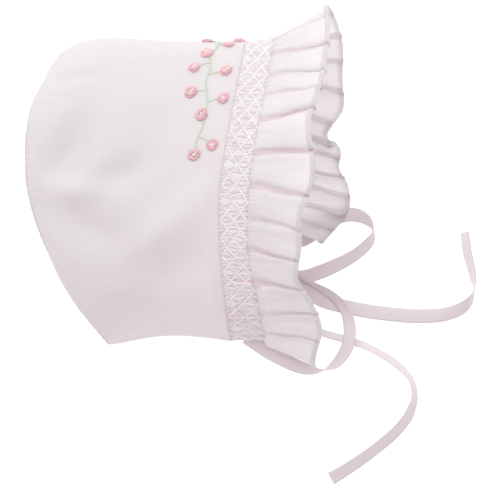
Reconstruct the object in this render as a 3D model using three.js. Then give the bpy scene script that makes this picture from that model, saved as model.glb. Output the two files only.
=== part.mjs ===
// A baby's smocked bonnet in cotton batiste, lying on its left side with its ties loose.
// Millimetres. X points from the back of the head to the face, Y from the neck to the top of the head, and Z up
// from the table, so the wearer's right side is uppermost ("near") and the left side lies on the table ("far").
import * as THREE from "three";

// Driving dimensions
const clothThick = 1.2;
const bandThick = 2;
const flounceThick = 1;
const ribbonWide = 7;
const ribbonThick = 1;
const seamGap = 0.5;
const flounceGap = 1;
const backGap = 0.35;
const pleatRise = 0.28;
const pleats = 60;
const backBulge = 6.5;
const hemArch = 3.4;
const flounceBow = -1.5;
const flouncePinch = 0.7;
const flounceSpread = 0.04;
const flounceStandsUp = 0.85;

// The bonnet's ribs, from the near neck hem over the top of the head to the far neck hem. Each runs from the back
// seam (b) to the front seam (f) and on to the outer edge of the smocked band (e), and swells outwards by rise.
const ribs = table("bx by bz fx fy fz ex ey ez rise", [
  [-39, -80, 8, 22.5, -78, 16, 39, -77.5, 14, 3],
  [-56, -59, 22, 19.5, -58, 37, 35.5, -59, 39, 6],
  [-69, -34, 32, 17, -32, 52, 30.5, -33, 57, 9],
  [-78, -8, 38, 17, -4, 59, 31, -4, 64.5, 11],
  [-80, 14, 40, 20.5, 22, 59.5, 34.5, 22, 65, 12],
  [-77.5, 37, 38, 25, 47, 52, 39.3, 48, 56, 16],
  [-68.5, 55.5, 27, 29.5, 68.7, 37, 43.5, 70.7, 38, 21],
  [-69, 55, 11, 31, 67.7, 12, 45.5, 69.7, 10, 13],
  [-68, 40, 1.5, 32, 49, 1, 46.5, 49, 1, 0],
  [-70, 12, 0.6, 33, 22, 0.6, 47.5, 22, 1, 0],
  [-64, -16, 0.6, 32.5, -1, 0.6, 47, -2, 1, 0],
  [-40, -58, 0.6, 28.5, -20, 1.6, 43, -24, 3, 0],
]);

// Soft dents (deep > 0) and ridges (deep < 0) in the near side of the crown: their middle, half length, half width,
// the way they run in degrees from X, and their depth.
const dents = [
  { x: -63, y: 19, long: 22, wide: 8, turn: 58, deep: 5 },
  { x: -60, y: 2, long: 19, wide: 7, turn: -8, deep: -3.2 },
  { x: -58, y: -14, long: 26, wide: 7, turn: -25, deep: 3.4 },
  { x: -30, y: 8, long: 16, wide: 7, turn: 30, deep: 2.6 },
  { x: -4, y: -16.5, long: 32, wide: 9, turn: 38, deep: -4.4 },
  { x: 0, y: -37, long: 28, wide: 9, turn: 30, deep: 2.6 },
  { x: -24, y: -70, long: 24, wide: 12, turn: 8, deep: 5 },
  { x: -34, y: -46, long: 24, wide: 8, turn: 20, deep: -1.6 },
];

// The flutes of the ruffle, a row for each, from the near cheek over the top to the far cheek: the place along the
// band where the flute starts (counted in ribs), the middle of its free edge, how deep it is, and how far it leans
// along the edge. On the near side the folds stand straight up, and every fold is broader than the valley beside it.
const flutes = table("e x y z deep lean", [
  [0.05, 64.5, -85.5, 15, 3, 0],
  [0.45, 67.5, -71.5, 25, 6, 0.6],
  [1.05, 62.5, -58.5, 36, 5, 0.8],
  [1.75, 55.5, -46.5, 47, 7, 1.4],
  [2.3, 57, -31.5, 56, 4, 0],
  [2.8, 57.5, -15.5, 65, 5, -0.6],
  [3.42, 64, 3.5, 72, 8, 0.6],
  [4.05, 62, 29, 74, 10, -1.2],
  [4.65, 66, 43.5, 70, 7, 0.8],
  [5.05, 68.5, 51, 66, 4, 0.3],
  [5.45, 70, 61.5, 58, 5, -0.4],
  [5.85, 72, 77, 44, 5, 0],
  [6.3, 71, 88.2, 28, 3, 0],
  [6.7, 75.5, 80.5, 14, 5, 0],
  [7.1, 78.5, 68, 5, 3, 0],
  [7.6, 78, 54, 4, 5, 0.6],
  [8.1, 78, 37.5, 4, 3, 0],
  [8.5, 68, 23, 4, 5, -0.5],
  [8.85, 77, 17, 4, 4, 0],
  [9.3, 76, 8, 5, 5, 0.6],
  [9.65, 80.5, -1, 5, 4, 0],
  [10, 81, -11, 5, 5, -0.5],
  [10.4, 76.5, -19.5, 6, 4, 0],
  [10.7, 70.5, -26, 7, 3, 0],
]);

// The routes of the ties, from the seam to the cut end: lift is the height of the lower edge over the table, and
// roll turns the ribbon about its own length, 0 flat and 90 on edge.
const nearRoute = table("x y lift roll", [
  [30, -76.5, 12.7, 10],
  [35, -80, 8.2, 12],
  [41, -84, 4, 14],
  [48, -87.8, 1.2, 16],
  [55, -91, 0.1, 24],
  [61.5, -93, 0.1, 50],
  [68, -93, 0.4, 86],
  [74.2, -89.8, 2.5, 128],
  [78.8, -84, 5.9, 145],
  [81, -77.5, 7.6, 150],
  [81.2, -70.5, 5.8, 148],
  [79.6, -64, 3.4, 140],
  [75.8, -58.8, 2.2, 130],
  [70.5, -54.4, 2, 122],
  [64.5, -51, 2, 112],
  [58.5, -48.2, 2, 104],
  [53, -45, 2, 95],
  [47.5, -43.4, 2, 90],
  [43.6, -46, 2, 90],
  [45, -49.8, 1.8, 86],
  [49.5, -50.8, 1.4, 70],
  [54.5, -51.2, 0.9, 40],
  [59.5, -53.4, 0.4, 16],
  [65, -56.8, 0.2, 8],
  [71.5, -59.4, 0.1, 6],
  [80.5, -61.6, 0.1, 6],
  [92, -63.8, 0.1, 6],
  [106.5, -65.5, 0.1, 6],
  [118, -66, 0.1, 8],
  [129, -65, 0.1, 16],
  [138.5, -61.2, 0.1, 38],
  [143.2, -54, 0.1, 84],
  [142.8, -45.7, 0.1, 118],
  [140, -33.5, 0.1, 128],
  [138.9, -24, 0.1, 124],
]);
const farRoute = table("x y lift roll", [
  [38.5, -25.6, 0.1, 0],
  [44, -28, 0.1, 0],
  [51, -29, 0.1, 0],
  [58.5, -27.4, 0.1, 0],
  [66, -22.5, 0.1, 0],
  [73, -17.5, 0.1, 0],
  [81, -15.2, 0.1, 8],
  [88.5, -17, 0.1, 36],
  [93, -22.8, 0.1, 88],
  [91, -29.2, 0.1, 132],
  [83.7, -35.6, 0.1, 144],
  [73.8, -41, 0.1, 160],
  [65.5, -44.4, 0.1, 170],
  [58.5, -46.6, 0.1, 176],
  [51.5, -46.6, 0.1, 178],
  [45.5, -48, 0.1, 176],
  [41, -52.5, 0.1, 170],
  [40, -58.5, 0.1, 160],
  [43, -64.5, 0.1, 148],
  [49.5, -69, 0.1, 134],
  [57, -71.5, 0.1, 124],
  [64, -73.2, 0.1, 118],
  [72, -75.6, 0.1, 118],
  [80.5, -78, 0.1, 120],
  [88, -80.4, 0.1, 118],
  [94, -83.2, 0.1, 116],
  [103.8, -89.3, 0.1, 118],
  [111.6, -97, 0.1, 112],
  [113.8, -105.5, 0.1, 114],
  [112, -112.8, 0.1, 128],
  [109, -118.5, 0.1, 134],
  [101.5, -126.5, 0.1, 140],
  [89.5, -136, 0.1, 142],
  [79, -143, 0.1, 150],
  [72, -147.2, 0.1, 158],
]);

// A short table with named columns. It is read at any place between its rows, along a smooth curve.
function table(columns, rows) {
  const names = columns.split(" ");
  const last = rows.length - 1;
  function at(name, place) {
    const column = names.indexOf(name);
    const value = (row) => {
      if (row < 0) return 2 * rows[0][column] - rows[1][column];
      if (row > last) return 2 * rows[last][column] - rows[last - 1][column];
      return rows[row][column];
    };
    const row = Math.min(Math.max(Math.floor(place), 0), last - 1);
    const part = place - row;
    const [a, b, c, d] = [value(row - 1), value(row), value(row + 1), value(row + 2)];
    const cubic = 3 * (b - c) + d - a;
    const square = 2 * a - 5 * b + 4 * c - d;
    return b + 0.5 * part * (c - a + part * (square + part * cubic));
  }
  const point = (names3, place) => new THREE.Vector3(...names3.split(" ").map((name) => at(name, place)));
  return { at, point, last };
}

// A closed wall of cloth round a surface that is given as a function of two numbers from 0 to 1. Where it would
// reach below the table, it lies flat on it.
function clothWall(surface, across, along, thick) {
  const spots = [];
  for (let i = 0; i <= across; i++) {
    for (let j = 0; j <= along; j++) spots.push(surface(i / across, j / along));
  }
  const index = (i, j) => Math.min(Math.max(i, 0), across) * (along + 1) + Math.min(Math.max(j, 0), along);
  const sheets = [[], []];
  for (let i = 0; i <= across; i++) {
    for (let j = 0; j <= along; j++) {
      const spot = spots[index(i, j)];
      const sideways = spots[index(i + 1, j)].clone().sub(spots[index(i - 1, j)]);
      const forwards = spots[index(i, j + 1)].clone().sub(spots[index(i, j - 1)]);
      const normal = sideways.cross(forwards).normalize();
      const pair = [0.5, -0.5].map((side) => spot.clone().addScaledVector(normal, side * thick));
      const lift = Math.max(0, -Math.min(pair[0].z, pair[1].z));
      pair.forEach((corner, side) => sheets[side].push(corner.x, corner.y, corner.z + lift));
    }
  }
  const count = spots.length;
  const faces = [];
  const quad = (a, b, c, d) => faces.push(a, b, c, a, c, d);
  for (let i = 0; i < across; i++) {
    for (let j = 0; j < along; j++) {
      const [a, b, c, d] = [index(i, j), index(i + 1, j), index(i + 1, j + 1), index(i, j + 1)];
      quad(a, b, c, d);
      quad(count + d, count + c, count + b, count + a);
    }
  }
  const rim = (a, b) => quad(b, a, count + a, count + b);
  for (let i = 0; i < across; i++) {
    rim(index(i, 0), index(i + 1, 0));
    rim(index(i + 1, along), index(i, along));
  }
  for (let j = 0; j < along; j++) {
    rim(index(0, j + 1), index(0, j));
    rim(index(across, j), index(across, j + 1));
  }
  const geometry = new THREE.BufferGeometry();
  geometry.setAttribute("position", new THREE.Float32BufferAttribute(sheets.flat(), 3));
  geometry.setIndex(faces);
  geometry.computeVertexNormals();
  return geometry;
}

// The way out of the head at a rib, square to the rib and to the run of the crown
function outward(rib) {
  const step = 0.05;
  const middle = (place) => ribs.point("fx fy fz", place).add(ribs.point("bx by bz", place));
  const run = middle(rib + step).sub(middle(rib - step));
  const back = ribs.point("bx by bz", rib).sub(ribs.point("fx fy fz", rib));
  return run.cross(back).normalize();
}

function dentDepth(x, y) {
  let depth = 0;
  for (const dent of dents) {
    const turn = THREE.MathUtils.degToRad(dent.turn);
    const along = ((x - dent.x) * Math.cos(turn) + (y - dent.y) * Math.sin(turn)) / dent.long;
    const across = ((y - dent.y) * Math.cos(turn) - (x - dent.x) * Math.sin(turn)) / dent.wide;
    depth += dent.deep * Math.exp(-along * along - across * across);
  }
  return depth;
}

// The crown: side runs from the near neck hem (0) to the far one (1), back from the front seam (0) to the back (1).
// Both neck hems curve in a little between the seams.
function crownSurface(side, back) {
  const rib = side * ribs.last;
  const out = outward(rib);
  const swell = ribs.at("rise", rib) * back ** 1.3 * (1 - back ** 7);
  const spot = ribs.point("fx fy fz", rib).lerp(ribs.point("bx by bz", rib), back).addScaledVector(out, swell);
  const hemNear = Math.max(0, 1 - rib, 1 - (ribs.last - rib)) ** 2;
  spot.y += hemArch * hemNear * Math.sin(Math.PI * back);
  const near = Math.max(0, out.z) * Math.sqrt(Math.max(0, Math.sin(Math.PI * back)));
  return spot.addScaledVector(out, -near * dentDepth(spot.x, spot.y));
}

// The back panel's edge, just clear of the crown's edge and in line with the cloth there
function backEdge(rib) {
  const end = ribs.point("bx by bz", rib);
  const slope = end.clone().sub(ribs.point("fx fy fz", rib)).addScaledVector(outward(rib), -7 * ribs.at("rise", rib));
  return end.addScaledVector(slope.normalize(), backGap + clothThick / 2);
}

// The back panel, a horseshoe: side runs from the near seam to the far one, up from the neck to the top
const horseshoeTop = [5.5, 7.5];
function backSurface(side, up) {
  const near = backEdge(up * horseshoeTop[0]);
  const far = backEdge(ribs.last - up * (ribs.last - horseshoeTop[1]));
  const top = backEdge(THREE.MathUtils.lerp(horseshoeTop[0], horseshoeTop[1], side));
  const neck = backEdge(0).lerp(backEdge(ribs.last), side);
  const corners = [
    backEdge(0).lerp(backEdge(ribs.last), side),
    backEdge(horseshoeTop[0]).lerp(backEdge(horseshoeTop[1]), side),
  ];
  const spot = near.lerp(far, side).add(neck.lerp(top, up)).sub(corners[0].lerp(corners[1], up));
  spot.x -= backBulge * Math.sin(Math.PI * side) * (0.3 + 0.7 * Math.sin(Math.PI * up));
  return spot;
}

// The smocked band: gathered into fine pleats between the front seam and the ruffle
function bandSurface(side, forward) {
  const rib = side * ribs.last;
  const seam = ribs.point("fx fy fz", rib);
  const edge = ribs.point("ex ey ez", rib);
  const start = seamGap / seam.distanceTo(edge);
  const pleat = Math.cos(2 * Math.PI * pleats * side);
  return seam.lerp(edge, start + (1 - start) * forward).addScaledVector(outward(rib), pleatRise * pleat);
}

// The ruffle: one sheet of constant length round its free edge, thrown into flutes that open from the band
function flounceSurface(side, forward) {
  const place = THREE.MathUtils.lerp(-0.5, flutes.last + 0.5, side);
  const edge = ribs.point("ex ey ez", flutes.at("e", place));
  const free = flutes.point("x y z", place);
  const step = 0.2;
  const run = flutes.point("x y z", place + step).sub(flutes.point("x y z", place - step)).divideScalar(2 * step);
  const pitch = run.length();
  run.normalize();
  const fall = free.clone().sub(edge);
  const out = fall.clone().cross(run).normalize();
  out.lerp(new THREE.Vector3(0, 0, 1), flounceStandsUp * Math.max(0, out.z)).normalize();
  const start = flounceGap / fall.length();
  const part = start + (1 - start) * forward;
  const open = Math.sin((Math.PI / 2) * part) ** 0.9;
  const turn = 2 * Math.PI * place - flouncePinch * Math.sin(2 * Math.PI * place);
  const rise = (flutes.at("deep", place) / 16) * (9 * Math.cos(turn) - Math.cos(3 * turn));
  const broaden = flounceSpread * pitch * (1.4 * Math.sin(turn) + Math.sin(2 * turn));
  const shift = broaden + flutes.at("lean", place) * Math.cos(turn);
  return edge
    .lerp(free, part)
    .addScaledVector(out, open * rise + flounceBow * Math.sin(Math.PI * part))
    .addScaledVector(run, open * shift);
}

// A ribbon tie along its route
function ribbonSurface(route) {
  return (length, width) => {
    const place = length * route.last;
    const step = 0.1;
    const run = new THREE.Vector3(
      route.at("x", place + step) - route.at("x", place - step),
      route.at("y", place + step) - route.at("y", place - step),
      0,
    ).normalize();
    const roll = THREE.MathUtils.degToRad(route.at("roll", place));
    const level = new THREE.Vector3(-run.y, run.x, 0);
    const reach = (width - 0.5) * ribbonWide;
    const height = (Math.abs(Math.sin(roll)) * ribbonWide + Math.abs(Math.cos(roll)) * ribbonThick) / 2;
    return new THREE.Vector3(
      route.at("x", place) + level.x * Math.cos(roll) * reach,
      route.at("y", place) + level.y * Math.cos(roll) * reach,
      route.at("lift", place) + height + Math.sin(roll) * reach,
    );
  };
}

const batiste = new THREE.MeshStandardMaterial({ color: 0xf6e6e9, roughness: 0.85, metalness: 0 });
const smocking = new THREE.MeshStandardMaterial({ color: 0xf4e0e4, roughness: 0.9, metalness: 0 });
const satin = new THREE.MeshStandardMaterial({ color: 0xefd9de, roughness: 0.45, metalness: 0 });

const bonnet = new THREE.Group();

function addPiece(name, geometry, material) {
  const mesh = new THREE.Mesh(geometry, material);
  mesh.name = name;
  bonnet.add(mesh);
}

const flutePoints = 10;
addPiece("crown", clothWall(crownSurface, 40, 16, clothThick), batiste);
addPiece("back_panel", clothWall(backSurface, 12, 12, clothThick), batiste);
addPiece("smocked_band", clothWall(bandSurface, pleats * 2, 2, bandThick), smocking);
addPiece("ruffle", clothWall(flounceSurface, (flutes.last + 1) * flutePoints, 5, flounceThick), batiste);
addPiece("tie_near", clothWall(ribbonSurface(nearRoute), 2 * nearRoute.last, 1, ribbonThick), satin);
addPiece("tie_far", clothWall(ribbonSurface(farRoute), 2 * farRoute.last, 1, ribbonThick), satin);

export default bonnet;
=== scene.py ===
import math
import random
from bisect import bisect
from functools import lru_cache
from itertools import accumulate

import bmesh
import bpy
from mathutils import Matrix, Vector, noise


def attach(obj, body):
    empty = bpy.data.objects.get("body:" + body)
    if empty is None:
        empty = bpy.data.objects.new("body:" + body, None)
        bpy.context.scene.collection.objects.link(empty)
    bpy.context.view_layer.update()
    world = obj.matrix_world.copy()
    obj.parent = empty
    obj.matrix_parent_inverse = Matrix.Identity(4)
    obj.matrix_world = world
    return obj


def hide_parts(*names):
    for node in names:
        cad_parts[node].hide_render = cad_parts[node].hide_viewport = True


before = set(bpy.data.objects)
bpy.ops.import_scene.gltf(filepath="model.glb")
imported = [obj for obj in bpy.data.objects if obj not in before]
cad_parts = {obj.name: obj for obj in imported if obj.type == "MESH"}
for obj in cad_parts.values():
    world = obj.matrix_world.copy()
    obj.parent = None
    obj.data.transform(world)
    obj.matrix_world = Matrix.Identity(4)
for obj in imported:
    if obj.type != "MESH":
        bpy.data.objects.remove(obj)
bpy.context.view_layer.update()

# The table and the light: a broad pale table top, one wide soft window of light at the upper left and an
# even, faintly pink fill from all round. The camera looks straight down from far off, as the photograph does.
MM = 0.001
photo_side = 250 * MM
photo_middle = Vector((31.5, -33, 0)) * MM
camera_height = 6
table_half = 4

scene = bpy.context.scene
scene.view_settings.view_transform = "Standard"
camera = bpy.data.objects.new("camera", bpy.data.cameras.new("camera"))
scene.collection.objects.link(camera)
scene.camera = camera
camera.location = photo_middle + Vector((0, 0, camera_height))
camera.data.lens = camera.data.sensor_width * camera_height / photo_side

world = bpy.data.worlds.new("studio")
scene.world = world
world.use_nodes = True
world.node_tree.nodes["Background"].inputs["Color"].default_value = (1, 0.93, 0.945, 1)
world.node_tree.nodes["Background"].inputs["Strength"].default_value = 0.67

window = bpy.data.objects.new("window", bpy.data.lights.new("window", "AREA"))
scene.collection.objects.link(window)
window.data.shape = "RECTANGLE"
window.data.size = 1.5
window.data.size_y = 1
window.data.energy = 16.2
window.data.color = (0.89, 1, 0.98)
window.location = (-0.14, 0.78, 1.42)
window.rotation_euler = (-window.location).to_track_quat("-Z", "Y").to_euler()
window.visible_camera = False

bm = bmesh.new()
bmesh.ops.create_grid(bm, x_segments=1, y_segments=1, size=table_half)
table_top = bpy.data.objects.new("table_top", bpy.data.meshes.new("table_top"))
bm.to_mesh(table_top.data)
bm.free()
scene.collection.objects.link(table_top)
pale = bpy.data.materials.new("pale_table")
pale.use_nodes = True
table_shader = pale.node_tree.nodes["Principled BSDF"]
table_shader.inputs["Base Color"].default_value = (0.94, 0.94, 0.94, 1)
table_shader.inputs["Roughness"].default_value = 0.9
table_shader.inputs["Specular IOR Level"].default_value = 0
table_shader.inputs["Emission Color"].default_value = (1, 1, 1, 1)
table_shader.inputs["Emission Strength"].default_value = 0.48
table_top.data.materials.append(pale)


# The ties: two narrow satin ribbons, one sewn on at each cheek corner. They lie loose on the table, turned on
# to their edges in the loops, and their ends are cut bare.
class Rows:
    """A short table with named columns, read at any place between its rows along a smooth curve."""

    def __init__(self, columns, *rows):
        self.names = columns.split()
        self.rows = rows
        self.last = len(rows) - 1

    def row(self, number):
        """A row of the table, which goes on in a straight line past either end."""
        if number < 0:
            return [2 * a - b for a, b in zip(self.rows[0], self.rows[1])]
        if number > self.last:
            return [2 * a - b for a, b in zip(self.rows[-1], self.rows[-2])]
        return self.rows[number]

    @lru_cache(maxsize=None)
    def values(self, place):
        """All columns at a place, each on a smooth curve through its rows."""
        low = min(max(math.floor(place), 0), self.last - 1)
        part = place - low
        found = {}
        for name, a, b, c, d in zip(self.names, *(self.row(low + step) for step in (-1, 0, 1, 2))):
            bend = 2 * a - 5 * b + 4 * c - d + part * (3 * (b - c) + d - a)
            found[name] = b + 0.5 * part * (c - a + part * bend)
        return found

    def at(self, name, place):
        """One column at a place."""
        return self.values(place)[name]

    def point(self, names, place):
        """The named columns at a place, as a vector."""
        return Vector([self.values(place)[name] for name in names.split()])


def woven(name, colour, shade, pitch, relief, rough, sheen, through):
    """A woven finish on the cloth's own UV map, which is in millimetres. Threads cross at the pitch and stand
    up by the relief. Slubs turn the colour to the shade a little, as the yarn's own uneven tone. The fold
    attribute turns it to the shade too: painted shade in the valleys of pleats and flutes, and deeper colour
    where the cloth lies doubled. Some light comes through."""
    finish = bpy.data.materials.new(name)
    finish.use_nodes = True
    nodes = finish.node_tree.nodes
    nodes.clear()

    def node(kind, settings=(), **sockets):
        """A node of the finish. Its sockets are given by name, or by number as i0, i6 and so on."""
        made = nodes.new("ShaderNode" + kind)
        for key, value in dict(settings).items():
            setattr(made, key, value)
        for key, value in sockets.items():
            number = key[1:]
            socket = made.inputs[int(number) if number.isdigit() else key.replace("_", " ")]
            if isinstance(value, bpy.types.NodeSocket):
                finish.node_tree.links.new(value, socket)
            else:
                socket.default_value = value
        return made

    weave = node("UVMap", {"uv_map": "weave"}).outputs["UV"]
    wave_period = math.pi / 10
    threads = [
        node("TexWave", {"bands_direction": way}, Vector=weave, Scale=wave_period / pitch).outputs["Fac"]
        for way in "XY"
    ]
    cross = node("Math", {"operation": "MAXIMUM"}, i0=threads[0], i1=threads[1]).outputs[0]
    slubs = []
    for stretch in ((0.03, 1.1, 1), (1.1, 0.03, 1)):
        drawn = node("Mapping", Vector=weave, Scale=stretch).outputs[0]
        slubs.append(node("TexNoise", Vector=drawn, Scale=1.0, Detail=3.0).outputs["Fac"])
    uneven = node("Math", {"operation": "MULTIPLY"}, i0=slubs[0], i1=slubs[1]).outputs[0]
    uneven = node("MapRange", Value=uneven, From_Min=0.12, From_Max=0.42, To_Min=0.0, To_Max=0.16).outputs[0]
    # The fold attribute is painted shade in the valleys of pleats and flutes, and deeper colour where the
    # cloth lies doubled.
    fold = node("Attribute", {"attribute_name": "fold"}).outputs["Fac"]
    turn = node("Math", {"operation": "ADD", "use_clamp": True}, i0=uneven, i1=fold).outputs[0]
    tint = node("Mix", {"data_type": "RGBA"}, i0=turn, i6=(*colour, 1), i7=(*shade, 1)).outputs[2]
    height = node("Math", {"operation": "ADD"}, i0=cross, i1=slubs[0]).outputs[0]
    bump = node("Bump", Height=height, Distance=relief * MM, Strength=0.7).outputs[0]
    front = node("BsdfPrincipled", Base_Color=tint, Roughness=rough, Normal=bump, Sheen_Weight=sheen)
    front.inputs["Specular IOR Level"].default_value = 0.3
    behind = node("BsdfTranslucent", Color=tint, Normal=bump)
    both = node("MixShader", i0=through, i1=front.outputs[0], i2=behind.outputs[0])
    node("OutputMaterial", Surface=both.outputs[0])
    return finish


def cloth(name, spot, across, along, cut, thick, finish, fold=None):
    """A sheet of cloth with a wall: a grid whose points go to spot(u, v) in millimetres, u and v from 0 to 1.
    cut is its flat size for the weave, and fold(u, v), from 0 to 1, how far a point's colour turns to the
    shade: painted shade where it lies deep in a fold, and deeper colour where the cloth lies doubled."""
    bm = bmesh.new()
    bmesh.ops.create_grid(bm, x_segments=across, y_segments=along, size=0.5)
    weave = bm.loops.layers.uv.new("weave")
    depth = bm.verts.layers.float.new("fold")
    for face in bm.faces:
        for loop in face.loops:
            loop[weave].uv = [(at + 0.5) * side for at, side in zip(loop.vert.co, cut)]
    for vert in bm.verts:
        u, v = vert.co.x + 0.5, vert.co.y + 0.5
        vert.co = spot(u, v) * MM
        if fold:
            vert[depth] = fold(u, v)
    piece = bpy.data.objects.new(name, bpy.data.meshes.new(name))
    bm.to_mesh(piece.data)
    bm.free()
    piece.data.shade_smooth()
    piece.data.materials.append(finish)
    scene.collection.objects.link(piece)
    wall = piece.modifiers.new("wall", "SOLIDIFY")
    wall.thickness = thick * MM
    wall.offset = 0
    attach(piece, "root")
    return piece


ribbon_wide = 7
ribbon_thick = 0.35
ribbon_stands = 1
ribbon_cup = 0.25
steps_per_row = 10
ribbon_strips = 8
near_route = Rows(
    "x y lift roll",
    (30, -76.5, 12.7, 10),
    (35, -80, 8.2, 12),
    (41, -84, 4, 14),
    (48, -87.8, 1.2, 16),
    (55, -91, 0.1, 24),
    (61.5, -93, 0.1, 50),
    (68, -93, 0.4, 86),
    (74.2, -89.8, 2.5, 128),
    (78.8, -84, 5.9, 145),
    (81, -77.5, 7.6, 150),
    (81.2, -70.5, 5.8, 148),
    (79.6, -64, 3.4, 140),
    (75.8, -58.8, 2.2, 130),
    (70.5, -54.4, 2, 122),
    (64.5, -51, 2, 112),
    (58.5, -48.2, 2, 104),
    (53, -45, 2, 95),
    (47.5, -43.4, 2, 90),
    (43.6, -46, 2, 90),
    (45, -49.8, 1.8, 86),
    (49.5, -50.8, 1.4, 70),
    (54.5, -51.2, 0.9, 40),
    (59.5, -53.4, 0.4, 16),
    (65, -56.8, 0.2, 8),
    (71.5, -59.4, 0.1, 6),
    (80.5, -61.6, 0.1, 6),
    (92, -63.8, 0.1, 6),
    (106.5, -65.5, 0.1, 6),
    (118, -66, 0.1, 8),
    (129, -65, 0.1, 16),
    (138.5, -61.2, 0.1, 38),
    (143.2, -54, 0.1, 84),
    (142.8, -45.7, 0.1, 118),
    (140, -33.5, 0.1, 128),
    (138.9, -24, 0.1, 124),
)
far_route = Rows(
    "x y lift roll",
    (38.5, -25.6, 0.1, 0),
    (44, -28, 0.1, 0),
    (51, -29, 0.1, 0),
    (58.5, -27.4, 0.1, 0),
    (66, -22.5, 0.1, 0),
    (73, -17.5, 0.1, 0),
    (81, -15.2, 0.1, 8),
    (88.5, -17, 0.1, 36),
    (93, -22.8, 0.1, 88),
    (91, -29.2, 0.1, 132),
    (83.7, -35.6, 0.1, 144),
    (73.8, -41, 0.1, 160),
    (65.5, -44.4, 0.1, 170),
    (58.5, -46.6, 0.1, 176),
    (51.5, -46.6, 0.1, 178),
    (45.5, -48, 0.1, 176),
    (41, -52.5, 0.1, 170),
    (40, -58.5, 0.1, 160),
    (43, -64.5, 0.1, 148),
    (49.5, -69, 0.1, 134),
    (57, -71.5, 0.1, 124),
    (64, -73.2, 0.1, 118),
    (72, -75.6, 0.1, 118),
    (80.5, -78, 0.1, 120),
    (88, -80.4, 0.1, 118),
    (94, -83.2, 0.1, 116),
    (103.8, -89.3, 0.1, 118),
    (111.6, -97, 0.1, 112),
    (113.8, -105.5, 0.1, 114),
    (112, -112.8, 0.1, 128),
    (109, -118.5, 0.1, 134),
    (101.5, -126.5, 0.1, 140),
    (89.5, -136, 0.1, 142),
    (79, -143, 0.1, 150),
    (72, -147.2, 0.1, 158),
)
satin = woven(
    "satin_ribbon",
    colour=(0.85, 0.78, 0.80),
    shade=(0.80, 0.66, 0.69),
    pitch=0.4,
    relief=0.02,
    rough=0.42,
    sheen=0.2,
    through=0.2,
)


def ribbon_spot(route, place, width):
    """A point of a ribbon, where width is 0 at one edge and 1 at the other. Its roll turns it on edge."""
    step = 0.1
    run = route.point("x y", place + step) - route.point("x y", place - step)
    level = Vector((-run.y, run.x)).normalized()
    roll = math.radians(route.at("roll", place))
    reach = (width - 0.5) * ribbon_wide
    cup = ribbon_cup * (1 - (2 * width - 1) ** 2)
    height = (abs(math.sin(roll)) * ribbon_wide + abs(math.cos(roll)) * ribbon_stands) / 2
    middle = route.point("x y", place) + level * (math.cos(roll) * reach - math.sin(roll) * cup)
    return Vector((*middle, route.at("lift", place) + height + math.sin(roll) * reach + math.cos(roll) * cup))


def lengths_along(spots):
    """How far it is along a line of points to each of them."""
    return list(accumulate((b - a).length for a, b in zip(spots[:1] + spots, spots)))


for name, route in (("tie_near", near_route), ("tie_far", far_route)):
    line = [
        ribbon_spot(route, step / steps_per_row, 0.5) * MM
        for step in range(route.last * steps_per_row + 1)
    ]
    length = lengths_along(line)[-1]
    tie = cloth(
        name + "_ribbon",
        lambda along, across: ribbon_spot(route, along * route.last, across),
        across=route.last * steps_per_row,
        along=ribbon_strips,
        cut=(length / MM, ribbon_wide),
        thick=ribbon_thick,
        finish=satin,
    )
    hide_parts(name)


# The crown: one strip of pale pink cotton batiste that runs from cheek to cheek over the head, eased into the
# back seam with small gathers. Its far side lies flat on the table, and its near side has soft dents.
back_seam = "bx by bz"
front_seam = "fx fy fz"
ruffle_seam = "ex ey ez"
ribs = Rows(
    f"{back_seam} {front_seam} {ruffle_seam} rise",
    (-39, -80, 8, 22.5, -78, 16, 39, -77.5, 14, 3),
    (-56, -59, 22, 19.5, -58, 37, 35.5, -59, 39, 9),
    (-69, -34, 32, 17, -32, 52, 30.5, -33, 57, 10.5),
    (-78, -8, 38, 17, -4, 59, 31, -4, 64.5, 11),
    (-80, 14, 40, 20.5, 22, 59.5, 34.5, 22, 65, 12),
    (-77.5, 37, 38, 25, 47, 52, 39.3, 48, 56, 16),
    (-68.5, 55.5, 27, 29.5, 68.7, 37, 43.5, 70.7, 38, 21),
    (-69, 55, 11, 31, 67.7, 12, 45.5, 69.7, 10, 13),
    (-68, 40, 1.5, 32, 49, 1, 46.5, 49, 1, 0),
    (-70, 12, 0.6, 33, 22, 0.6, 47.5, 22, 1, 0),
    (-64, -16, 0.6, 32.5, -1, 0.6, 47, -2, 1, 0),
    (-40, -58, 0.6, 28.5, -20, 1.6, 43, -24, 3, 0),
)
dents = Rows(
    "x y long wide turn deep",
    (-62, 12, 22, 8.5, 62, 8),
    (-62, -3, 19, 6, -4, -3.6),
    (-52, -23, 28, 11, -25, 5),
    (-32, 4, 16, 8, 30, 3.6),
    (-4, -16.5, 32, 9, 38, -4.4),
    (0, -43, 28, 10, 26, 3.6),
    (-20, -67, 32, 11, 8, 6),
    (-34, -44, 24, 9, 20, 1),
    (-58, 52, 18, 2.4, 12, 1.5),
    (-67.5, 43.8, 8, 2, -11, 1),
    (-70, 39, 6, 2, 0, 0.8),
    (-14.5, 46, 12, 9, 0, -1),
    (-7, 29.5, 12, 8, 20, 1),
    (0.5, 12.5, 5, 1.6, 40, 0.5),
    (-6, -64, 13, 3, -29, -0.9),
)
crown_run = 290
crown_wide = 105
batiste_thick = 0.5
hem_arch = 3.4
seam_allowance = 6.5
neck_hem = 5
turned_rise = 0.11
turned_sharp = 2.5
doubled_shade = 0.06
gather_pitch = 3.2
gather_rise = 0.4
gather_reach = 6
pucker_pitch = 2.6
pucker_rise = 0.12
pucker_reach = 5
tuck_deep = 0.5
tuck_reach = 0.6
swell_start = 1.3
swell_end = 7
gather_patches = 23
soft_wave_rise = 0.35
soft_wave_long = 22
fine_wave_rise = 0.1
fine_wave_long = 7
seam_steps = 20
batiste = woven(
    "batiste",
    colour=(0.925, 0.90, 0.909),
    shade=(0.90, 0.765, 0.785),
    pitch=0.32,
    relief=0.03,
    rough=0.85,
    sheen=0.15,
    through=0.44,
)


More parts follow.
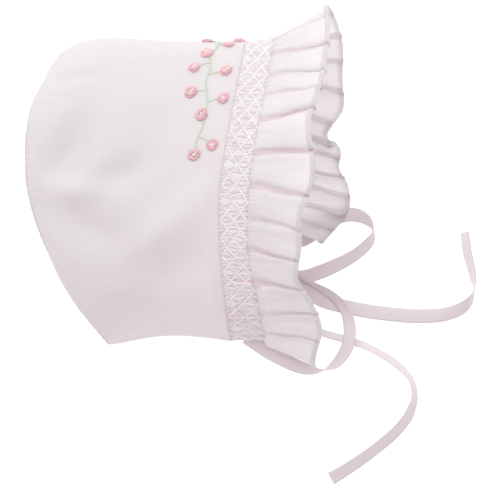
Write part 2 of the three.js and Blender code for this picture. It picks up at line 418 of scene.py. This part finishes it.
@lru_cache(maxsize=None)
def outward(rib):
    """The way out of the head at a rib, square to the rib and to the run of the crown."""
    step = 0.05
    run = Vector()
    for seam in (front_seam, back_seam):
        run += ribs.point(seam, rib + step) - ribs.point(seam, rib - step)
    return run.cross(ribs.point(back_seam, rib) - ribs.point(front_seam, rib)).normalized()


def dent_depth(x, y):
    """How deep the near side is pressed in at a place, over all its dents."""
    depth = 0
    for dent in (dents.values(number) for number in range(dents.last + 1)):
        turn = math.radians(dent["turn"])
        along = ((x - dent["x"]) * math.cos(turn) + (y - dent["y"]) * math.sin(turn)) / dent["long"]
        across = ((y - dent["y"]) * math.cos(turn) - (x - dent["x"]) * math.sin(turn)) / dent["wide"]
        depth += dent["deep"] * math.exp(-along * along - across * across)
    return depth


def crown_base(side, back):
    """The crown's even surface, which swells towards the back and has its dents on the near side. side runs
    from the near neck hem to the far one, and back from the front seam."""
    rib = side * ribs.last
    out = outward(rib)
    swell = ribs.at("rise", rib) * back**swell_start * (1 - back**swell_end)
    spot = ribs.point(front_seam, rib).lerp(ribs.point(back_seam, rib), back) + out * swell
    hem_near = max(0, 1 - rib, 1 - (ribs.last - rib)) ** 2
    spot.y += hem_arch * hem_near * math.sin(math.pi * back)
    near = max(0, out.z) * math.sqrt(max(0, math.sin(math.pi * back)))
    return spot - out * (near * dent_depth(spot.x, spot.y))


def rib_length(rib):
    """How far a rib runs from the front seam to the back seam."""
    return (ribs.point(front_seam, rib) - ribs.point(back_seam, rib)).length


@lru_cache(maxsize=None)
def measured(seam):
    """The length along a seam, from the near cheek, at each step from rib to rib."""
    spots = [ribs.point(seam, step / seam_steps) for step in range(ribs.last * seam_steps + 1)]
    return lengths_along(spots)


def seam_length(seam, rib):
    """The length along a seam from the near cheek to a rib."""
    place = min(max(rib * seam_steps, 0), ribs.last * seam_steps - 0.001)
    low = int(place)
    before, after = measured(seam)[low : low + 2]
    return before + (place - low) * (after - before)


def reached(lengths, length):
    """Where a length is reached along a line of points: the point before it, and the share of the way on."""
    low = min(max(bisect(lengths, length) - 1, 0), len(lengths) - 2)
    return low, (length - lengths[low]) / (lengths[low + 1] - lengths[low])


def rib_at(seam, share):
    """The rib that lies at a share of a seam's whole length."""
    lengths = measured(seam)
    low, onward = reached(lengths, share * lengths[-1])
    return (low + onward) / seam_steps


def from_hem(side, back):
    """How far a point of the crown lies from the nearer neck hem."""
    lengths = []
    for seam in (front_seam, back_seam):
        hem = 0 if side < 0.5 else measured(seam)[-1]
        lengths.append(abs(seam_length(seam, side * ribs.last) - hem))
    return lengths[0] + back * (lengths[1] - lengths[0])


def crown_spot(side, back):
    """The crown with its gathers, puckers, turned-in edges and small unevenness, tucked under the band."""
    rib = side * ribs.last
    spot = crown_base(side, back)
    from_front = back * rib_length(rib)
    from_back = (1 - back) * rib_length(rib)
    gather = gather_rise * (0.5 + 0.5 * noise.noise(Vector((side * gather_patches, 0, 5))))
    gather *= math.sin(2 * math.pi * seam_length(back_seam, rib) / gather_pitch)
    pucker = pucker_rise * math.sin(2 * math.pi * seam_length(front_seam, rib) / pucker_pitch)
    lift = gather * math.exp(-from_back / gather_reach) + pucker * math.exp(-from_front / pucker_reach)
    for within, turned in ((from_front, seam_allowance), (from_hem(side, back), neck_hem)):
        lift += turned_rise * (1 - math.tanh(turned_sharp * (within - turned)))
    uneven = soft_wave_rise * noise.noise(spot / soft_wave_long)
    uneven += fine_wave_rise * noise.noise(spot / fine_wave_long)
    tuck = tuck_deep * math.exp(-from_front / tuck_reach)
    spot += outward(rib) * (lift + uneven - tuck)
    spot.z = max(spot.z, batiste_thick)
    return spot


def crown_fold(side, back):
    """The cloth is double, and so a little deeper in colour, where the seam allowance lies under it."""
    return doubled_shade if back * rib_length(side * ribs.last) < seam_allowance else 0


crown = cloth(
    "crown_batiste",
    crown_spot,
    across=300,
    along=90,
    cut=(crown_run, crown_wide),
    thick=batiste_thick,
    finish=batiste,
    fold=crown_fold,
)
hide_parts("crown")


# The back panel: a horseshoe of the same batiste that closes the back of the head, with the crown eased on to
# it. Small gathers run in from the seam all round.
panel_wide = 60
panel_high = 150
panel_side = 140
panel_gather = 0.3
panel_reach = 5
panel_wave_rise = 0.5
panel_wave_long = 14
back_bulge = 6.5
bulge_at_neck = 0.3
bulge_at_middle = 0.7
horseshoe_top = (5.5, 7.5)


def back_edge(rib):
    """The panel's edge, which meets the crown's."""
    return ribs.point(back_seam, rib)


def back_spot(side, up):
    """A point of the panel: side runs from the near seam to the far one, up from the neck to the top."""
    near = back_edge(up * horseshoe_top[0])
    far = back_edge(ribs.last - up * (ribs.last - horseshoe_top[1]))
    top = back_edge(horseshoe_top[0] + (horseshoe_top[1] - horseshoe_top[0]) * side)
    neck = back_edge(0).lerp(back_edge(ribs.last), side)
    corners = neck.lerp(back_edge(horseshoe_top[0]).lerp(back_edge(horseshoe_top[1]), side), up)
    spot = near.lerp(far, side) + neck.lerp(top, up) - corners
    bulge = bulge_at_neck * (1 - up) + bulge_at_middle * math.sin(math.pi * up)
    spot.x -= back_bulge * math.sin(math.pi * side) * bulge
    from_edge = min(side, 1 - side, 1 - up) * panel_wide
    gather = panel_gather * math.sin(2 * math.pi * up * panel_side / gather_pitch)
    spot.x -= gather * math.exp(-from_edge / panel_reach)
    spot.x -= panel_wave_rise * noise.noise(spot / panel_wave_long)
    spot.z = max(spot.z, batiste_thick)
    return spot


back_panel = cloth(
    "back_panel_batiste",
    back_spot,
    across=60,
    along=140,
    cut=(panel_wide, panel_high),
    thick=batiste_thick,
    finish=batiste,
)
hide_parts("back_panel")


# The smocked band: batiste gathered into fine upright pleats, held by a trellis of white stranded cotton. Its
# stitches cross in diamonds and draw the pleats together where they meet. Band and ruffle are one strip.
strip_run = 500
band_wide = 14
diamond_long = 9.2
diamonds_across = 2
pleats_in_diamond = 5
pleat_rise = 0.9
pleat_pull = 0.45
pleat_wander = 0.9
pleat_round = 0.6
pleat_start = 0.3
pleat_opening = 5
valley_low = 0.45
# Painted shade: the pleat valleys are coloured deeper pink, where shade and light bounced between the pleats
# fall.
valley_painted_shade = 0.75
steps_per_pleat = 9
steps_per_diamond = 14
thread_thick = 0.7
thread_hold = 0.4
thread_sharp = 4
thread_climb = 0.49
thread_rest = 0.3
thread_over = 0.12
trellis_start = 0.02
roll_rise = 0.35
roll_sharp = 14
seam_lap = 0.04
band_run = measured(front_seam)[-1]
diamonds = round(band_run / diamond_long)
pleats = diamonds * pleats_in_diamond
# The smocking's shade is also the colour of the painted shade in the pleat valleys.
smocking = woven(
    "smocked_batiste",
    colour=(0.95, 0.935, 0.94),
    shade=(0.90, 0.70, 0.725),
    pitch=0.32,
    relief=0.02,
    rough=0.9,
    sheen=0.1,
    through=0.45,
)


def zigzag(turns):
    """A wave of straight slopes from -1 to 1."""
    return 1 - 4 * abs(turns % 1 - 0.5)


def band_base(side, forward):
    """The band's even surface: forward runs from the front seam to the ruffle."""
    rib = rib_at(front_seam, side)
    return ribs.point(front_seam, rib).lerp(ribs.point(ruffle_seam, rib), forward)


def pleat_turn(side, forward):
    """The place across the pleats, which the stitches draw towards the corners of the diamonds."""
    pull = math.sin(2 * math.pi * side * diamonds) * math.cos(2 * math.pi * diamonds_across * forward)
    uneven = pleat_wander * noise.noise(Vector((side * 90, forward * 2.2, 11)))
    return side * pleats + pleat_pull * pull + uneven


def pleat_ridge(side, forward):
    """How high on its pleat a point lies, from 0 in the valley to 1 on the ridge."""
    return 0.5 + 0.5 * math.cos(2 * math.pi * pleat_turn(side, forward))


def band_spot(side, forward):
    """A point of the pleats, which lie lower under the threads and end in a low roll at the front seam."""
    from_thread = abs(abs(zigzag(side * diamonds / 2)) - abs(zigzag(forward * diamonds_across / 2)))
    held = 1 - thread_hold * math.exp(-((from_thread * thread_sharp) ** 2))
    rise = pleat_rise * (pleat_ridge(side, forward) ** pleat_round * held - valley_low)
    rise *= min(1, pleat_start + pleat_opening * forward)
    rise += roll_rise * math.exp(-forward * roll_sharp)
    lapped = (1 + seam_lap) * forward - seam_lap
    spot = band_base(side, lapped) + outward(rib_at(front_seam, side)) * rise
    spot.z = max(spot.z, batiste_thick)
    return spot


# The pleats carry painted shade in their valleys through the fold attribute.
band = cloth(
    "smocked_pleats",
    band_spot,
    across=pleats * steps_per_pleat,
    along=20,
    cut=(band_run, band_wide),
    thick=batiste_thick,
    finish=smocking,
    fold=lambda side, forward: valley_painted_shade * (1 - pleat_ridge(side, forward)) ** 4,
)
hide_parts("smocked_band")


def threads(name, lines, thick, finish):
    """Round threads along lines of points in millimetres, as one piece."""
    curve = bpy.data.curves.new(name, "CURVE")
    curve.dimensions = "3D"
    curve.bevel_depth = thick / 2 * MM
    curve.bevel_resolution = 1
    curve.use_fill_caps = True
    for line in lines:
        spline = curve.splines.new("POLY")
        spline.points.add(len(line) - 1)
        for point, spot in zip(spline.points, line):
            point.co = (*(spot * MM), 1)
    drawn = bpy.data.objects.new(name + "_line", curve)
    scene.collection.objects.link(drawn)
    bpy.context.view_layer.update()
    piece = bpy.data.objects.new(name, bpy.data.meshes.new_from_object(drawn))
    bpy.data.objects.remove(drawn)
    piece.data.shade_smooth()
    piece.data.materials.clear()
    piece.data.materials.append(finish)
    scene.collection.objects.link(piece)
    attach(piece, "root")
    return piece


def strand(name, colour, shade, pitch):
    """Stranded embroidery cotton: soft, a little lustrous, with fine twisted strands."""
    finish = bpy.data.materials.new(name)
    finish.use_nodes = True
    nodes = finish.node_tree.nodes
    links = finish.node_tree.links
    shader = nodes["Principled BSDF"]
    shader.inputs["Roughness"].default_value = 0.6
    shader.inputs["Sheen Weight"].default_value = 0.3
    place = nodes.new("ShaderNodeTexCoord")
    twist = nodes.new("ShaderNodeTexNoise")
    twist.inputs["Scale"].default_value = 1 / (pitch * MM)
    twist.inputs["Detail"].default_value = 2
    links.new(place.outputs["Object"], twist.inputs["Vector"])
    tint = nodes.new("ShaderNodeMix")
    tint.data_type = "RGBA"
    tint.inputs[6].default_value = (*colour, 1)
    tint.inputs[7].default_value = (*shade, 1)
    links.new(twist.outputs["Fac"], tint.inputs[0])
    links.new(tint.outputs[2], shader.inputs["Base Color"])
    bump = nodes.new("ShaderNodeBump")
    bump.inputs["Distance"].default_value = 0.08 * MM
    links.new(twist.outputs["Fac"], bump.inputs["Height"])
    links.new(bump.outputs[0], shader.inputs["Normal"])
    return finish


white_cotton = strand("white_cotton", colour=(0.97, 0.965, 0.965), shade=(0.90, 0.87, 0.88), pitch=0.5)


def trellis_line(row, way):
    """One smocking thread: it climbs and falls across its row of diamonds, with a stitch over each pleat."""
    line = []
    steps = diamonds * steps_per_diamond
    for step in range(steps + 1):
        side = step / steps
        across = row + 0.5 + thread_climb * way * zigzag(side * diamonds / 2)
        forward = trellis_start + (1 - trellis_start) * across / diamonds_across
        over = thread_over * (2 * pleat_ridge(side, forward) - 1)
        rise = pleat_rise * thread_rest + over
        spot = band_base(side, forward) + outward(rib_at(front_seam, side)) * rise
        spot.z = max(spot.z, batiste_thick)
        line.append(spot)
    return line


trellis = threads(
    "smocking_trellis",
    [trellis_line(row, way) for row in range(diamonds_across) for way in (-1, 1)],
    thick=thread_thick,
    finish=white_cotton,
)


# The ruffle: the straight strip of batiste that goes on from the band, thrown into broad flutes that open
# towards its free edge, with a narrow hem turned under and stitched all along.
flounce_wide = 36
hem_wide = 2.4
hem_round = 0.02
hem_gap = 0.7
ruffle_thick = 0.45
single = woven(
    "single_batiste",
    colour=(0.937, 0.926, 0.931),
    shade=(0.92, 0.77, 0.79),
    pitch=0.32,
    relief=0.03,
    rough=0.85,
    sheen=0.1,
    through=0.68,
)
narrow = 0.85
spread = 0.06
stands_up = 0.85
flounce_bow = -1.5
flounce_lap = 0.02
opening_round = 0.9
root_gather = 0.24
root_reach = 4.5
crease_rise = 1.5
fine_crease_rise = 0.5
edge_curl = 1.4
line_sway = 2.6
# How strongly the painted shade deepens the colour in the valleys between the flutes.
valley_shade = 0.1
flute_points = 48
flutes = Rows(
    "rib x y z deep lean",
    (0.05, 64.5, -85.5, 15, 3, 0),
    (0.45, 67.5, -71.5, 25, 6, 0.6),
    (1.05, 62.5, -58.5, 36, 5, 0.8),
    (1.75, 55.5, -46.5, 47, 7, 1.4),
    (2.3, 57, -31.5, 56, 4, 0),
    (2.8, 57.5, -15.5, 65, 5, -0.6),
    (3.42, 64, 3.5, 72, 8, 0.6),
    (4.05, 62, 29, 74, 10, -1.2),
    (4.65, 66, 43.5, 70, 7, 0.8),
    (5.05, 68.5, 51, 66, 4, 0.3),
    (5.45, 70, 61.5, 58, 5, -0.4),
    (5.85, 72, 77, 44, 5, 0),
    (6.3, 71, 88.2, 28, 3, 0),
    (6.7, 75.5, 80.5, 14, 5, 0),
    (7.1, 78.5, 68, 5, 3, 0),
    (7.6, 78, 54, 4, 5, 0.6),
    (8.1, 78, 37.5, 4, 3, 0),
    (8.5, 69.5, 24, 4, 5, -0.5),
    (8.85, 77, 17, 4, 4, 0),
    (9.3, 76, 8, 5, 5, 0.6),
    (9.65, 80.5, -1, 5, 4, 0),
    (10, 81, -11, 5, 5, -0.5),
    (10.4, 76.5, -19.5, 6, 4, 0),
    (10.7, 70.5, -26, 7, 3, 0),
)


@lru_cache(maxsize=None)
def flounce_line(side):
    """What one line of the ruffle needs, from the band to its free edge."""
    place = -0.5 + side * (flutes.last + 1)
    rib = flutes.at("rib", place)
    edge = ribs.point(ruffle_seam, rib)
    free = flutes.point("x y z", place)
    step = 0.2
    run = (flutes.point("x y z", place + step) - flutes.point("x y z", place - step)) / (2 * step)
    pitch = run.length
    run.normalize()
    out = (free - edge).cross(run).normalized()
    out = out.lerp(Vector((0, 0, 1)), stands_up * max(0, out.z)).normalized()
    turn = 2 * math.pi * place
    turn -= narrow * math.sin(turn)
    rise = flutes.at("deep", place) / 16 * (9 * math.cos(turn) - math.cos(3 * turn))
    shift = spread * pitch * (1.4 * math.sin(turn) + math.sin(2 * turn))
    shift += flutes.at("lean", place) * math.cos(turn)
    return rib, edge, free, run, out, rise, shift


def flounce_spot(side, forward):
    """A point of the ruffle's surface, with gathers at its root, creases, a curled edge and some sway."""
    rib, edge, free, run, out, rise, shift = flounce_line(side)
    fall = (free - edge).length
    part = (1 + flounce_lap) * forward - flounce_lap
    inner = min(max(part, 0), 1)
    opened = math.sin(math.pi / 2 * inner) ** opening_round
    middle = math.sin(math.pi * 0.999 * inner)
    gathers = seam_length(front_seam, rib) / band_run * pleats
    root = root_gather * math.cos(2 * math.pi * gathers) * math.exp(-inner * fall / root_reach)
    crease = crease_rise * noise.noise(Vector((side * 62 + part, part * 1.1, 3))) * middle**0.5
    crease += fine_crease_rise * noise.noise(Vector((side * 160, part * 2, 7))) * middle**0.5
    curl = edge_curl * noise.noise(Vector((side * 34, 0, 9))) * inner**3
    sway = line_sway * noise.noise(Vector((side * 26, part * 1.6, 5))) * middle
    lift = opened * rise + flounce_bow * middle + root + crease + curl
    spot = edge.lerp(free, part) + out * lift + run * (opened * shift + sway)
    spot.z = max(spot.z, ruffle_thick)
    return spot


def flounce_face(side, part, proud):
    """A point that stands proud of the ruffle's outer face, square to it."""
    aside = 0.0004
    inward = 0.02
    spot = flounce_spot(side, part)
    beside = flounce_spot(side + aside, part) - flounce_spot(side - aside, part)
    onward = spot - flounce_spot(side, part - inward)
    return spot + beside.cross(onward).normalized() * proud


def ruffle_spot(side, along):
    """A point of the strip, which runs out to the free edge and turns back inside as the narrow hem."""
    _, edge, free, *_ = flounce_line(side)
    turned = hem_wide / (free - edge).length
    part = along * (1 + turned)
    if part <= 1 - hem_round:
        return flounce_spot(side, part)
    angle = math.pi / 2 * min(1, (part - 1 + hem_round) / hem_round)
    under = hem_round * math.sin(angle) - max(0, part - 1)
    return flounce_face(side, 1 - hem_round + under, hem_gap * (math.cos(angle) - 1))


def ruffle_painted_shade(side, along):
    """Painted shade: the valleys between the flutes are coloured deeper pink, most of all near the band,
    where shade falls in them.
    """
    *_, rise, _ = flounce_line(side)
    return valley_shade * max(0, -rise) * (1 - 0.5 * along)


ruffle = cloth(
    "ruffle_batiste",
    ruffle_spot,
    across=(flutes.last + 1) * flute_points,
    along=34,
    cut=(strip_run, flounce_wide + hem_wide),
    thick=ruffle_thick,
    finish=single,
    fold=ruffle_painted_shade,
)
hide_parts("ruffle")


# The sewing: fine pale cotton stitches along the front seam, the near neck hem and the ruffle's hem, each a
# little shorter than its pitch.
stitch_thick = 0.24
seam_line = 1.2
hem_line = 1.9
hem_proud = 0.3
neck_line = 4.2
neck_rib_pitch = 29.5
neck_start = 2
neck_run = 58
sewing_cotton = strand("sewing_cotton", colour=(0.88, 0.82, 0.83), shade=(0.80, 0.72, 0.74), pitch=0.4)


def stitches(line, count, share):
    """Short stitches along line(place), where place runs from 0 to 1 and share is how much thread shows."""
    return [[line((number + share * part) / count) for part in (0, 0.5, 1)] for number in range(count)]


def on_crown(rib, behind, proud):
    """A point that stands proud of the crown at a rib, this far behind the front seam."""
    side, back = rib / ribs.last, behind / rib_length(rib)
    return crown_spot(side, back) + outward(rib) * (batiste_thick / 2 + proud)


seam_stitches = stitches(
    lambda place: on_crown(place * ribs.last, seam_line, 0),
    count=160,
    share=0.6,
)
hem_stitches = stitches(
    lambda place: flounce_face(place, 1 - hem_line / flounce_wide, hem_proud),
    count=420,
    share=0.65,
)
neck_stitches = stitches(
    lambda place: on_crown(neck_line / neck_rib_pitch, neck_start + place * neck_run, 0),
    count=28,
    share=0.6,
)
sewing = threads(
    "sewing_stitches",
    seam_stitches + hem_stitches + neck_stitches,
    thick=stitch_thick,
    finish=sewing_cotton,
)


# The embroidery: a vine in pale green stem stitch that climbs over the head behind the smocking. Each sprig
# ends in a rosebud of bullion stitches, thread wound in coils and laid in rings round a paler heart.
rib_pitch = 27
vine = Rows(
    "rib behind",
    (3.84, 15.4),
    (4.02, 15.6),
    (4.28, 13.6),
    (4.49, 13.2),
    (4.67, 13.4),
    (4.93, 14.2),
    (5.21, 16.2),
    (5.47, 15),
    (5.69, 16.3),
    (5.95, 14.2),
    (6.25, 15.2),
    (6.55, 14),
    (6.8, 15.5),
    (7.1, 14.4),
)
buds = Rows(
    "rib behind from wide",
    (3.74, 15.4, 0, 5.8),
    (3.9, 7.3, 1.3, 5.2),
    (4.51, 15.2, 3, 5.6),
    (4.81, 5.8, 4.3, 5.2),
    (4.97, 22.6, 5.2, 5.6),
    (5.37, 6.8, 6.3, 5.4),
    (5.46, 23, 7.3, 5),
    (5.76, 18.2, 8.2, 5.2),
    (6.03, 8.4, 9.2, 5.2),
    (6.3, 4, 9.5, 5.2),
    (6.32, 20, 10.2, 5.2),
    (6.75, 8.2, 11.4, 5),
    (6.95, 21, 12.2, 5),
    (7.22, 12.6, 13, 5.2),
)
stem_thick = 0.62
stem_stitch_long = 2.4
stem_overlap = 0.6
stem_slant = 0.28
stem_low = 0.25
stem_arch = 0.3
vine_steps = 8
sprig_bend = 1.2
sprig_reach = 0.8
coil_thick = 0.34
coil_steps = 7
shortest_bullion = 1.6
bullion_tip = 0.55
bullion_arch = 0.25
leaf_green = strand("green_cotton", colour=(0.67, 0.75, 0.61), shade=(0.55, 0.66, 0.49), pitch=0.5)
deep_rose = strand("deep_rose_cotton", colour=(0.92, 0.55, 0.63), shade=(0.86, 0.41, 0.50), pitch=0.5)
mid_rose = strand("mid_rose_cotton", colour=(0.94, 0.68, 0.73), shade=(0.90, 0.55, 0.62), pitch=0.5)
pale_rose = strand("pale_rose_cotton", colour=(0.95, 0.85, 0.80), shade=(0.93, 0.74, 0.72), pitch=0.5)


def stem_stitches(spots):
    """Stem stitch along a line of places on the crown: slanted stitches, each begun beside the last."""
    run = lengths_along(spots)
    count = max(2, round(run[-1] / (stem_stitch_long * stem_overlap)))
    lines = []
    for number in range(count):
        line = []
        for part in (0, 0.25, 0.5, 0.75, 1):
            length = min(run[-1], (number + part / stem_overlap) * run[-1] / count)
            low, share = reached(run, length)
            around, behind = spots[low].lerp(spots[low + 1], share)
            aside = stem_slant * (2 * part - 1)
            proud = stem_thick * (stem_low + stem_arch * math.sin(math.pi * part))
            line.append(on_crown(around / rib_pitch, behind + aside, proud))
        lines.append(line)
    return lines


def crown_point(table, place):
    """A place on the crown for laying stitches: millimetres round the head, and behind the front seam."""
    return Vector((table.at("rib", place) * rib_pitch, table.at("behind", place)))


places = [step / vine_steps for step in range(vine.last * vine_steps + 1)]
stems = stem_stitches([crown_point(vine, place) for place in places])
for number in range(1, buds.last + 1):
    bud = crown_point(buds, number)
    start = crown_point(vine, buds.at("from", number))
    bend = start.lerp(bud, 0.5) + Vector((sprig_bend, 0))
    reach = start.lerp(bud, sprig_reach)
    parts = (0, 0.2, 0.4, 0.6, 0.8, 1)
    stems += stem_stitches([start.lerp(bend, part).lerp(bend.lerp(reach, part), part) for part in parts])
vine_stitches = threads("vine_stitches", stems, stem_thick, leaf_green)


def bullion(rib, behind, ring, start, sweep, proud, fat):
    """A bullion stitch: thread wound in a close coil, bent round the bud's heart on a ring of this radius."""
    rib_step = 1 / rib_pitch
    middle = on_crown(rib, behind, 0)
    run = (on_crown(rib + rib_step, behind, 0) - middle).normalized()
    aside = (on_crown(rib, behind + 1, 0) - middle).normalized()
    out = outward(rib)
    winds = round(max(sweep * ring, shortest_bullion) / coil_thick)
    line = []
    for step in range(winds * coil_steps + 1):
        part = step / (winds * coil_steps)
        angle = start + sweep * (part - 0.5)
        radial = run * math.cos(angle) + aside * math.sin(angle)
        taper = fat * (bullion_tip + (1 - bullion_tip) * math.sin(math.pi * part) ** 0.5)
        wind = 2 * math.pi * part * winds
        centre = middle + radial * ring + out * (proud + bullion_arch * math.sin(math.pi * part))
        line.append(centre + (radial * math.cos(wind) + out * math.sin(wind)) * taper)
    return line


deep_petals = 5
mid_petals = 4
pale_petals = 2
pale_ring = 0.7
bud_full = 1.12
petal_stray = 0.12
draw = random.Random(7)
rings = {"deep": [], "mid": [], "pale": []}
for number in range(buds.last + 1):
    rib, behind, wide = (buds.at(column, number) for column in ("rib", "behind", "wide"))
    turn = draw.uniform(0, 2 * math.pi)
    half = wide / 2 * bud_full
    for petal in range(deep_petals):
        start = turn + (petal + draw.uniform(-petal_stray, petal_stray)) * 2 * math.pi / deep_petals
        ring = half - 0.5 + draw.uniform(-0.3, 0.2)
        proud = 0.4 + draw.uniform(0, 0.25)
        rings["deep"].append(bullion(rib, behind, ring, start, sweep=1.3, proud=proud, fat=0.46))
    for petal in range(mid_petals):
        start = turn + 0.5 + (petal + draw.uniform(-petal_stray, petal_stray)) * 2 * math.pi / mid_petals
        ring = half - 1.3 + draw.uniform(-0.15, 0.15)
        proud = 0.8 + draw.uniform(0, 0.3)
        rings["mid"].append(bullion(rib, behind, ring, start, sweep=1.55, proud=proud, fat=0.5))
    for petal in range(pale_petals):
        start = turn + petal * 2 * math.pi / pale_petals
        rings["pale"].append(bullion(rib, behind, pale_ring, start, sweep=2.7, proud=1, fat=0.52))
for name, finish in (("deep", deep_rose), ("mid", mid_rose), ("pale", pale_rose)):
    petals = threads(name + "_rose_bullions", rings[name], coil_thick, finish)
